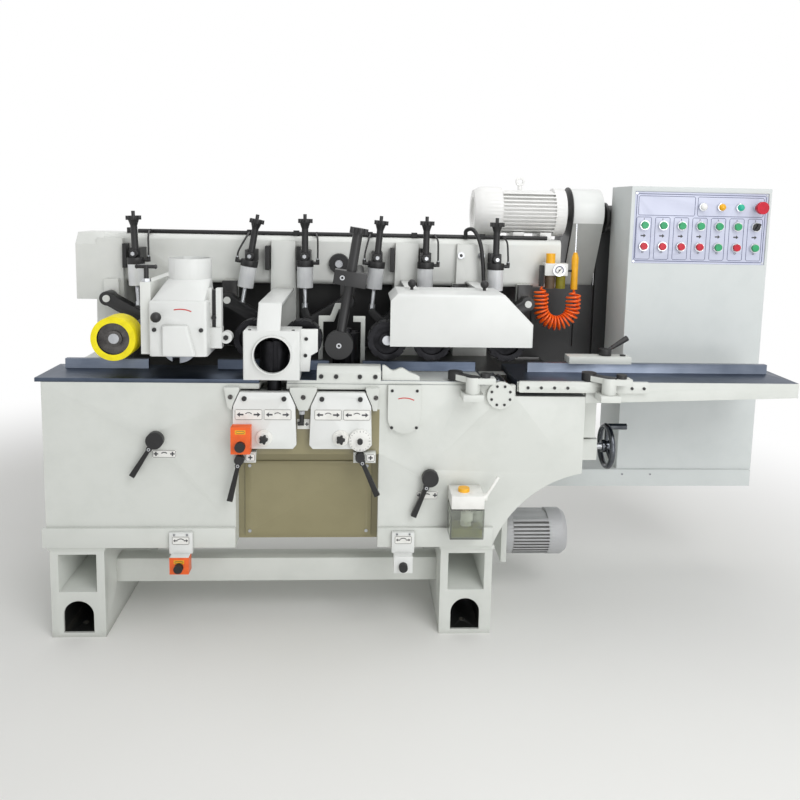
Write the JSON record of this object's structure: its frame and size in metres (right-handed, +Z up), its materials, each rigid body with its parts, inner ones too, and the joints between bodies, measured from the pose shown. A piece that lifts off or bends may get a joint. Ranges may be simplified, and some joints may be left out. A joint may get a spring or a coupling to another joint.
{
  "type": "four sided moulder",
  "caption": "Floor standing moulder: cast bed on pedestals, cutter spindles under dust hoods, air pressed feed rollers on an overhead beam, infeed table and control cabinet.",
  "frame": {"origin": "floor level, centre of the four anchor bolt holes", "axes": "+X along the bed to the infeed end, +Y to the rear, +Z up"},
  "size_m": [2.365, 0.9149, 1.4285],
  "materials": {
    "machine_enamel": "warm light grey satin enamel on sheet and plate",
    "machine_enamel_cast": "warm light grey satin enamel over filled castings",
    "olive_enamel": "olive beige enamel on sheet",
    "ground_table_steel": "ground steel with blue grey sheen",
    "motor_enamel": "white enamel on cast aluminium and sheet",
    "cabinet_enamel": "light grey fine texture powder coat",
    "panel_enamel": "pale lavender printed plate",
    "cylinder_aluminium": "clear anodised barrels with black caps",
    "fitting_plastic": "off white moulded fittings",
    "black_iron": "black enamel over castings",
    "orange_hose": "clear orange polyurethane tube",
    "yellow_plastic": "yellow moulded grip",
    "cutter_steel": "ground tool steel",
    "roller_steel": "oil darkened knurled steel",
    "yellow_rubber": "yellow polyurethane tyre",
    "black_bakelite": "polished black bakelite",
    "black_plastic": "black moulded plastic",
    "green_plastic": "green moulded button",
    "red_plastic": "red moulded button"
  },
  "bodies": {
    "machine": {"stand": "machine_enamel", "bed_casting": "machine_enamel_cast", "access_panels": "olive_enamel", "table_plates": "ground_table_steel", "feed_beam": "machine_enamel_cast", "motors": "motor_enamel", "belt_guard": "machine_enamel", "control_cabinet": "cabinet_enamel", "control_panel": "panel_enamel", "infeed_guard": "machine_enamel", "left_dust_hood": "machine_enamel", "front_dust_hood": "machine_enamel", "air_cylinders": "cylinder_aluminium", "air_supply": "fitting_plastic", "lubricator": "fitting_plastic", "side_head_plates": "machine_enamel_cast", "press_post": "black_iron", "air_hose": "orange_hose", "air_gun": "yellow_plastic"},
    "bottom_spindle": {"bottom_spindle": "cutter_steel"},
    "right_spindle": {"right_spindle": "cutter_steel"},
    "left_spindle": {"left_spindle": "cutter_steel"},
    "top_spindle": {"top_spindle": "cutter_steel"},
    "infeed_table": {"infeed_table": "ground_table_steel"},
    "infeed_handwheel": {"infeed_handwheel": "black_bakelite"},
    "fence_clamp_lever": {"fence_clamp_lever": "black_iron"},
    "side_presser_1": {"side_presser_1": "machine_enamel_cast"},
    "side_presser_2": {"side_presser_2": "machine_enamel_cast"},
    "pump_lever": {"pump_lever": "fitting_plastic"},
    "estop_button": {"estop_button": "red_plastic"},
    "selector_switch": {"selector_switch": "black_plastic"},
    "feed_arm_1": {"feed_arm_1": "black_iron"},
    "feed_roller_1": {"feed_roller_1": "yellow_rubber"},
    "start_button_1": {"start_button_1": "green_plastic"},
    "feed_arm_2": {"feed_arm_2": "black_iron"},
    "feed_roller_2": {"feed_roller_2": "roller_steel"},
    "start_button_2": {"start_button_2": "green_plastic"},
    "feed_arm_3": {"feed_arm_3": "black_iron"},
    "feed_roller_3": {"feed_roller_3": "roller_steel"},
    "start_button_3": {"start_button_3": "green_plastic"},
    "feed_arm_4": {"feed_arm_4": "black_iron"},
    "feed_roller_4": {"feed_roller_4": "roller_steel"},
    "start_button_4": {"start_button_4": "green_plastic"},
    "feed_arm_5": {"feed_arm_5": "black_iron"},
    "feed_roller_5": {"feed_roller_5": "roller_steel"},
    "start_button_5": {"start_button_5": "green_plastic"},
    "feed_arm_6": {"feed_arm_6": "black_iron"},
    "feed_roller_6": {"feed_roller_6": "roller_steel"},
    "start_button_6": {"start_button_6": "green_plastic"},
    "clamp_lever_1": {"clamp_lever_1": "black_iron"},
    "clamp_lever_2": {"clamp_lever_2": "black_iron"},
    "clamp_lever_3": {"clamp_lever_3": "black_iron"},
    "clamp_lever_4": {"clamp_lever_4": "black_iron"},
    "stop_button_1": {"stop_button_1": "red_plastic"},
    "stop_button_2": {"stop_button_2": "red_plastic"},
    "stop_button_3": {"stop_button_3": "red_plastic"},
    "stop_button_4": {"stop_button_4": "red_plastic"},
    "stop_button_5": {"stop_button_5": "green_plastic"},
    "stop_button_6": {"stop_button_6": "red_plastic"},
    "stop_button_7": {"stop_button_7": "green_plastic"}
  },
  "joints": [
    {"name": "feed_arm_1_swing", "type": "hinge", "parent": "machine", "child": "feed_arm_1", "pos_m": [-0.603, 0.085, 0.985], "axis": [0, -1, 0], "range_deg": [0, 8]},
    {"name": "feed_roller_1_spin", "type": "hinge", "parent": "feed_arm_1", "child": "feed_roller_1", "pos_m": [-0.473, 0, 0.91], "axis": [0, 1, 0], "continuous": true},
    {"name": "feed_arm_2_swing", "type": "hinge", "parent": "machine", "child": "feed_arm_2", "pos_m": [-0.202, 0.085, 0.985], "axis": [0, -1, 0], "range_deg": [0, 8]},
    {"name": "feed_roller_2_spin", "type": "hinge", "parent": "feed_arm_2", "child": "feed_roller_2", "pos_m": [-0.072, 0, 0.905], "axis": [0, 1, 0], "continuous": true},
    {"name": "feed_arm_3_swing", "type": "hinge", "parent": "machine", "child": "feed_arm_3", "pos_m": [0.204, 0.085, 0.985], "axis": [0, 1, 0], "range_deg": [0, 8]},
    {"name": "feed_roller_3_spin", "type": "hinge", "parent": "feed_arm_3", "child": "feed_roller_3", "pos_m": [0.074, 0, 0.905], "axis": [0, 1, 0], "continuous": true},
    {"name": "feed_arm_4_swing", "type": "hinge", "parent": "machine", "child": "feed_arm_4", "pos_m": [0.423, 0.085, 0.985], "axis": [0, 1, 0], "range_deg": [0, 8]},
    {"name": "feed_roller_4_spin", "type": "hinge", "parent": "feed_arm_4", "child": "feed_roller_4", "pos_m": [0.332, 0, 0.905], "axis": [0, 1, 0], "continuous": true},
    {"name": "feed_arm_5_swing", "type": "hinge", "parent": "machine", "child": "feed_arm_5", "pos_m": [0.6, 0.085, 0.985], "axis": [0, 1, 0], "range_deg": [0, 8]},
    {"name": "feed_roller_5_spin", "type": "hinge", "parent": "feed_arm_5", "child": "feed_roller_5", "pos_m": [0.47, 0, 0.905], "axis": [0, 1, 0], "continuous": true},
    {"name": "feed_arm_6_swing", "type": "hinge", "parent": "machine", "child": "feed_arm_6", "pos_m": [0.83, 0.085, 0.985], "axis": [0, 1, 0], "range_deg": [0, 8]},
    {"name": "feed_roller_6_spin", "type": "hinge", "parent": "feed_arm_6", "child": "feed_roller_6", "pos_m": [0.7, 0, 0.905], "axis": [0, 1, 0], "continuous": true},
    {"name": "bottom_spindle_spin", "type": "hinge", "parent": "machine", "child": "bottom_spindle", "pos_m": [0.67, 0, 0.7595], "axis": [0, 1, 0], "continuous": true},
    {"name": "top_spindle_spin", "type": "hinge", "parent": "machine", "child": "top_spindle", "pos_m": [-0.276, 0, 0.8985], "axis": [0, 1, 0], "continuous": true},
    {"name": "left_spindle_spin", "type": "hinge", "parent": "machine", "child": "left_spindle", "pos_m": [-0.005, -0.2865, 0.7], "axis": [0, 0, 1], "continuous": true},
    {"name": "right_spindle_spin", "type": "hinge", "parent": "machine", "child": "right_spindle", "pos_m": [0.206, -0.1435, 0.7], "axis": [0, 0, 1], "continuous": true},
    {"name": "infeed_table_lift", "type": "slide", "parent": "machine", "child": "infeed_table", "axis": [0, 0, 1], "range_m": [-0.01, 0]},
    {"name": "infeed_handwheel_turn", "type": "hinge", "parent": "machine", "child": "infeed_handwheel", "pos_m": [1.042, -0.2, 0.564], "axis": [1, 0, 0], "range_deg": [-900, 0]},
    {"name": "clamp_lever_1_turn", "type": "hinge", "parent": "machine", "child": "clamp_lever_1", "pos_m": [-0.344, -0.33, 0.622], "axis": [0, 1, 0], "range_deg": [-20, 60]},
    {"name": "clamp_lever_2_turn", "type": "hinge", "parent": "machine", "child": "clamp_lever_2", "pos_m": [-0.098, -0.345, 0.569], "axis": [0, 1, 0], "range_deg": [-20, 50]},
    {"name": "clamp_lever_3_turn", "type": "hinge", "parent": "machine", "child": "clamp_lever_3", "pos_m": [0.254, -0.345, 0.577], "axis": [0, 1, 0], "range_deg": [-50, 20]},
    {"name": "clamp_lever_4_turn", "type": "hinge", "parent": "machine", "child": "clamp_lever_4", "pos_m": [0.464, -0.33, 0.508], "axis": [0, 1, 0], "range_deg": [0, 60]},
    {"name": "fence_clamp_lever_turn", "type": "hinge", "parent": "infeed_table", "child": "fence_clamp_lever", "pos_m": [1.035, -0.161, 0.8524], "axis": [0, 0, 1], "range_deg": [-45, 90]},
    {"name": "side_presser_1_swing", "type": "hinge", "parent": "machine", "child": "side_presser_1", "pos_m": [0.58, -0.364, 0.8], "axis": [0, 0, 1], "range_deg": [-12, 12], "stiffness_Nm_per_rad": 40},
    {"name": "side_presser_2_swing", "type": "hinge", "parent": "infeed_table", "child": "side_presser_2", "pos_m": [0.985, -0.364, 0.8], "axis": [0, 0, 1], "range_deg": [-12, 12], "stiffness_Nm_per_rad": 40},
    {"name": "pump_lever_turn", "type": "hinge", "parent": "machine", "child": "pump_lever", "pos_m": [0.622, -0.382, 0.466], "axis": [1, 0, 0], "range_deg": [-30, 40]},
    {"name": "estop_button_press", "type": "slide", "parent": "machine", "child": "estop_button", "axis": [0, 1, 0], "range_m": [0, 0.005], "stiffness_N_per_m": 600},
    {"name": "selector_switch_turn", "type": "hinge", "parent": "machine", "child": "selector_switch", "pos_m": [1.591, 0, 1.267], "axis": [0, 1, 0], "range_deg": [-45, 45]},
    {"name": "start_button_1_press", "type": "slide", "parent": "machine", "child": "start_button_1", "axis": [0, 1, 0], "range_m": [0, 0.004], "stiffness_N_per_m": 300},
    {"name": "start_button_2_press", "type": "slide", "parent": "machine", "child": "start_button_2", "axis": [0, 1, 0], "range_m": [0, 0.004], "stiffness_N_per_m": 300},
    {"name": "start_button_3_press", "type": "slide", "parent": "machine", "child": "start_button_3", "axis": [0, 1, 0], "range_m": [0, 0.004], "stiffness_N_per_m": 300},
    {"name": "start_button_4_press", "type": "slide", "parent": "machine", "child": "start_button_4", "axis": [0, 1, 0], "range_m": [0, 0.004], "stiffness_N_per_m": 300},
    {"name": "start_button_5_press", "type": "slide", "parent": "machine", "child": "start_button_5", "axis": [0, 1, 0], "range_m": [0, 0.004], "stiffness_N_per_m": 300},
    {"name": "start_button_6_press", "type": "slide", "parent": "machine", "child": "start_button_6", "axis": [0, 1, 0], "range_m": [0, 0.004], "stiffness_N_per_m": 300},
    {"name": "stop_button_1_press", "type": "slide", "parent": "machine", "child": "stop_button_1", "axis": [0, 1, 0], "range_m": [0, 0.004], "stiffness_N_per_m": 300},
    {"name": "stop_button_2_press", "type": "slide", "parent": "machine", "child": "stop_button_2", "axis": [0, 1, 0], "range_m": [0, 0.004], "stiffness_N_per_m": 300},
    {"name": "stop_button_3_press", "type": "slide", "parent": "machine", "child": "stop_button_3", "axis": [0, 1, 0], "range_m": [0, 0.004], "stiffness_N_per_m": 300},
    {"name": "stop_button_4_press", "type": "slide", "parent": "machine", "child": "stop_button_4", "axis": [0, 1, 0], "range_m": [0, 0.004], "stiffness_N_per_m": 300},
    {"name": "stop_button_5_press", "type": "slide", "parent": "machine", "child": "stop_button_5", "axis": [0, 1, 0], "range_m": [0, 0.004], "stiffness_N_per_m": 300},
    {"name": "stop_button_6_press", "type": "slide", "parent": "machine", "child": "stop_button_6", "axis": [0, 1, 0], "range_m": [0, 0.004], "stiffness_N_per_m": 300},
    {"name": "stop_button_7_press", "type": "slide", "parent": "machine", "child": "stop_button_7", "axis": [0, 1, 0], "range_m": [0, 0.004], "stiffness_N_per_m": 300}
  ],
  "couplings": [
    {"joint": "feed_roller_2_spin", "follows": "feed_roller_1_spin", "ratio": 1.0833},
    {"joint": "feed_roller_3_spin", "follows": "feed_roller_1_spin", "ratio": 1.0833},
    {"joint": "feed_roller_4_spin", "follows": "feed_roller_1_spin", "ratio": 1.0833},
    {"joint": "feed_roller_5_spin", "follows": "feed_roller_1_spin", "ratio": 1.0833},
    {"joint": "feed_roller_6_spin", "follows": "feed_roller_1_spin", "ratio": 1.0833},
    {"joint": "infeed_handwheel_turn", "follows": "infeed_table_lift", "rad_per_m": 1570.8}
  ]
}
